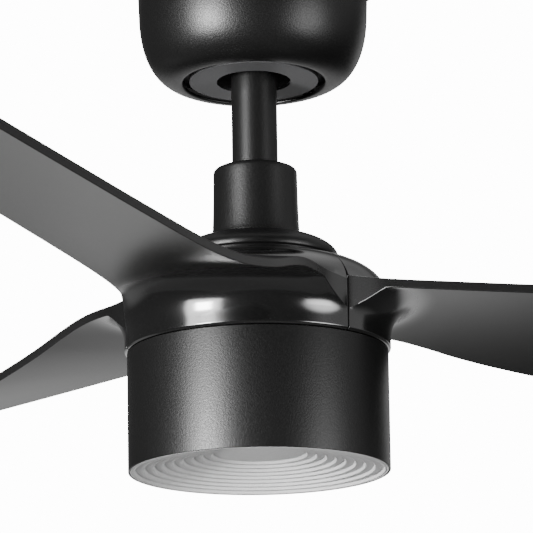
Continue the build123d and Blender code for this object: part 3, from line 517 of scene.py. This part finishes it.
# Distance from the axis, height of the top of the leading edge, and of the trailing edge.
STATIONS = [
    (30, 101.0, 99.4), (58, 101.0, 99.8), (80, 101.1, 99.8), (95, 101.2, 98.0),
    (112, 101.2, 94.0), (132, 101.2, 88.4), (156, 101.2, 82.8), (190, 101.2, 76.4),
    (240, 101.2, 71.0), (320, 101.2, 67.3), (400, 101.2, 64.4), (480, 101.0, 61.6),
    (560, 100.5, 59.0), (670, 99.5, 56.5),
]
# The outline's two edges: distance along X, and Y.
TRAILING = [(38.3, 66.15), (60, 60.6), (90, 57.8), (150, 57.0), (300, 54.3), (600, 45.5)]
LEADING = [
    (38.3, -66.15), (60, -60.6), (90, -57.8), (150, -56.8), (300, -58.2), (450, -57), (600, -53.5),
]


def smooth_value(knots, x, column=1):
    """A value between knots by a cubic with finite-difference slopes."""
    last = len(knots) - 1
    spot = max(0, min(last - 1, sum(1 for k in knots if k[0] <= x) - 1))

    def slope(index):
        low, high = max(0, index - 1), min(last, index + 1)
        return (knots[high][column] - knots[low][column]) / (knots[high][0] - knots[low][0])

    a, b = knots[spot], knots[spot + 1]
    wide = b[0] - a[0]
    t = (x - a[0]) / wide
    return (
        (1 + 2 * t) * (1 - t) ** 2 * a[column] + t * (1 - t) ** 2 * wide * slope(spot)
        + t * t * (3 - 2 * t) * b[column] + t * t * (t - 1) * wide * slope(spot + 1)
    )


def sheet_top(x, y):
    """Height of the blade's upper face."""
    share = y / HALF_CHORD
    lead, trail = smooth_value(STATIONS, x, 1), smooth_value(STATIONS, x, 2)
    return (lead + trail) / 2 + share * (trail - lead) / 2 + CAMBER * (1 - share * share)


DOME = [(HUB_R, DOME_FOOT)]
DOME += bezier((HUB_R, DOME_FOOT), (HUB_R, 108), (66, DOME_TOP), (DOME_TOP_R, DOME_TOP), 60)


def dome_height(r):
    """Height of the hub's dome over a radius, falling steeply past the wall."""
    if r >= HUB_R:
        return DOME_FOOT - 4 * (r - HUB_R)
    for (far, low), (near, high) in zip(DOME, DOME[1:]):
        if near <= r:
            return low + (high - low) * (far - r) / (far - near)
    return DOME[-1][1]


def blended_top(x, y):
    """The higher of the dome and the blade's upper face, with a soft valley between them."""
    sheet, dome = sheet_top(x, y), dome_height(math.hypot(x, y))
    share = max(0.0, VALLEY - abs(sheet - dome)) / VALLEY
    return max(sheet, dome) + share * share * VALLEY / 4


def root_drop(distance, full, seam_share):
    """How far the underside drops towards the wall: a hollow arc, nearly straight at the seam."""
    straight = max(0.0, 1 - distance / SEAM_REACH) ** 1.15
    share = max(0.0, 1 - distance / full)
    hollow = 1 - math.sqrt(max(0.0, 1 - share * share))
    return full * (seam_share * straight + (1 - seam_share) * hollow)


def outline_edges(x):
    """Y of the outline's trailing and leading edges; past the tip's start they stay as they are there."""
    x = min(x, TIP_START)
    return smooth_value(TRAILING, x), smooth_value(LEADING, x)


def plan_middle(x):
    trail, lead = outline_edges(x)
    return (trail + lead) / 2


def plan_half(x):
    trail, lead = outline_edges(x)
    return (trail - lead) / 2


def column_plan(side):
    """One lengthwise section seen from above, from the hub's wall out to the tip."""
    turn = math.radians(SEAM_TURN * side)
    wall_x, wall_y = HUB_R * math.cos(turn), HUB_R * math.sin(turn)
    wall_share = (wall_y - plan_middle(wall_x)) / plan_half(wall_x)
    end_x = TIP_START + TIP_REACH * (1 - abs(side) ** TIP_POWER) ** (1 / TIP_POWER)

    def across(x):
        t = min(1.0, (x - wall_x) / ROOT_BLEND)
        share = side + (wall_share - side) * (1 - t * t * (3 - 2 * t))
        return plan_middle(x) + plan_half(x) * share

    def at_distance(distance):
        """X where the section is this far out from the wall, by halving."""
        low, high = wall_x, wall_x + 60
        for _ in range(30):
            x = (low + high) / 2
            if math.hypot(x, across(x)) < HUB_R + distance:
                low = x
            else:
                high = x
        return low

    xs = [at_distance(distance) for distance in ROOT_DISTANCES]
    near = xs[-1]
    for step in range(1, OUTER_STEPS + 1):
        t = step / OUTER_STEPS
        xs.append(near + (end_x - near) * (0.35 * t + 0.65 * t * t))
    return [(wall_x, wall_y)] + [(x, across(x)) for x in xs]


def column_points(side):
    """One lengthwise section of a moulding, as the hub's part, the top and the underside.
    side runs from -1 to 1, leading to trailing."""
    turn = math.radians(SEAM_TURN * side)
    cosine, sine = math.cos(turn), math.sin(turn)
    seam_share = math.exp(-SEAM_TURN * (1 - abs(side)) / SEAM_FADE)
    web_bottom = WEB_BOTTOM + WEB_SEAM_LIFT * seam_share

    def place(r, above):
        return (r * cosine, r * sine, above)

    hub = [place(HUB_R, web_bottom - (web_bottom - HUB_LOW) * t / 4) for t in (1, 2, 3)]
    hub += [place(HUB_R, HUB_LOW), place(75.3, 69), place(73.5, 69), place(73.5, 82), place(73.5, 96)]
    hub += [place(*p) for p in bezier((73.5, 96), (73.5, 104), (68, 111), (58.3, 112), 5)]
    hub += [place(58.3, 116.5), place(34, 116.5), place(34, DOME_TOP), place(DOME_TOP_R, DOME_TOP)]
    for r in (49, 53, 57, 61, 64.5, 67.5, 70, 72, 73.8, 75.3):
        hub.append(place(r, blended_top(r * cosine, r * sine)))
    spots = column_plan(side)
    top = [(x, y, blended_top(x, y)) for x, y in spots]
    full = sheet_top(*spots[0]) - BLADE_THICK - web_bottom
    under = []
    for x, y in spots:
        away = max(0.0, math.hypot(x, y) - HUB_R)
        under.append((x, y, sheet_top(x, y) - BLADE_THICK - root_drop(away, full, seam_share)))
    return hub, top, under


def blade_mesh(name, turn):
    """The whole moulding: a third of the hub with its blade, closed at both seams. The borders of
    the side faces stay sharp, so that their shading does not spread onto the top and underside."""
    build = bmesh.new()
    rotate = Matrix.Rotation(turn, 3, "Z")

    def make(x, y, above):
        return build.verts.new(rotate @ Vector((x * MM, y * MM, height(above))))

    columns = []
    for index in range(COLUMNS + 1):
        share = index / COLUMNS * 2 - 1
        side = share * (1.25 - 0.25 * share * share)      # the strips narrow towards the edges
        columns.append([[make(*point) for point in part] for part in column_points(side)])
    for left, right in zip(columns, columns[1:]):
        loops = [part[0] + part[1] + part[2][::-1] for part in (left, right)]
        size = len(loops[0])
        for spot in range(size):
            after = (spot + 1) % size
            build.faces.new((loops[0][spot], loops[1][spot], loops[1][after], loops[0][after]))
    for hub, top, under in (columns[0], columns[-1]):
        seam = build.faces.new(hub + [top[0], under[0]])
        sides = [
            build.faces.new((top[spot], top[spot + 1], under[spot + 1], under[spot]))
            for spot in range(len(top) - 1)
        ]
        for face in [seam, *sides]:
            for edge in face.edges:
                edge.smooth = sum(side in edge.link_faces for side in sides) == 2
    bmesh.ops.recalc_face_normals(build, faces=build.faces)
    mesh = bpy.data.meshes.new(name)
    build.to_mesh(mesh)
    build.free()
    return mesh


def add_blades():
    for number in range(3):
        name = f"blade_{number + 1}"
        mesh = blade_mesh(f"{name}_moulding", math.radians(120 * number))
        piece = new_piece(f"{name}_moulding", mesh, "rotor", "abs_black", name)
        soften(piece, EDGE_ROUND * MM)


add_canopy()
add_coupling_cover()
add_rotor_cap()
add_drum()
add_lens()
add_blades()


# ---------------------------------------------------------------- floor
FLOOR_HALF = 5.0
FLOOR_LOW = -6.0              # far below, so that it hides little of the glows under the fan
FLOOR_SEEN = 12.0             # emission to the camera alone, so the floor is as pale as the background


def add_floor():
    """A plain pale floor that adds no light of its own to the fan."""
    mesh = bpy.data.meshes.new("floor")
    corners = [
        (x * FLOOR_HALF, y * FLOOR_HALF, FLOOR_LOW) for x, y in ((-1, -1), (1, -1), (1, 1), (-1, 1))
    ]
    mesh.from_pydata(corners, [], [(0, 1, 2, 3)])
    floor = bpy.data.objects.new("floor", mesh)
    bpy.context.scene.collection.objects.link(floor)
    pale = plain("floor_pale", (0.4, 0.4, 0.4), 0.8, 0, 20, 0.0001)
    tree = pale.node_tree
    path = tree.nodes.new("ShaderNodeLightPath")
    glow = tree.nodes.new("ShaderNodeMath")
    glow.operation = "MULTIPLY"
    glow.inputs[1].default_value = FLOOR_SEEN
    tree.links.new(path.outputs["Is Camera Ray"], glow.inputs[0])
    shader = tree.nodes["Principled BSDF"]
    shader.inputs["Emission Color"].default_value = (1, 1, 1, 1)
    tree.links.new(glow.outputs["Value"], shader.inputs["Emission Strength"])
    floor.data.materials.append(pale)


add_floor()
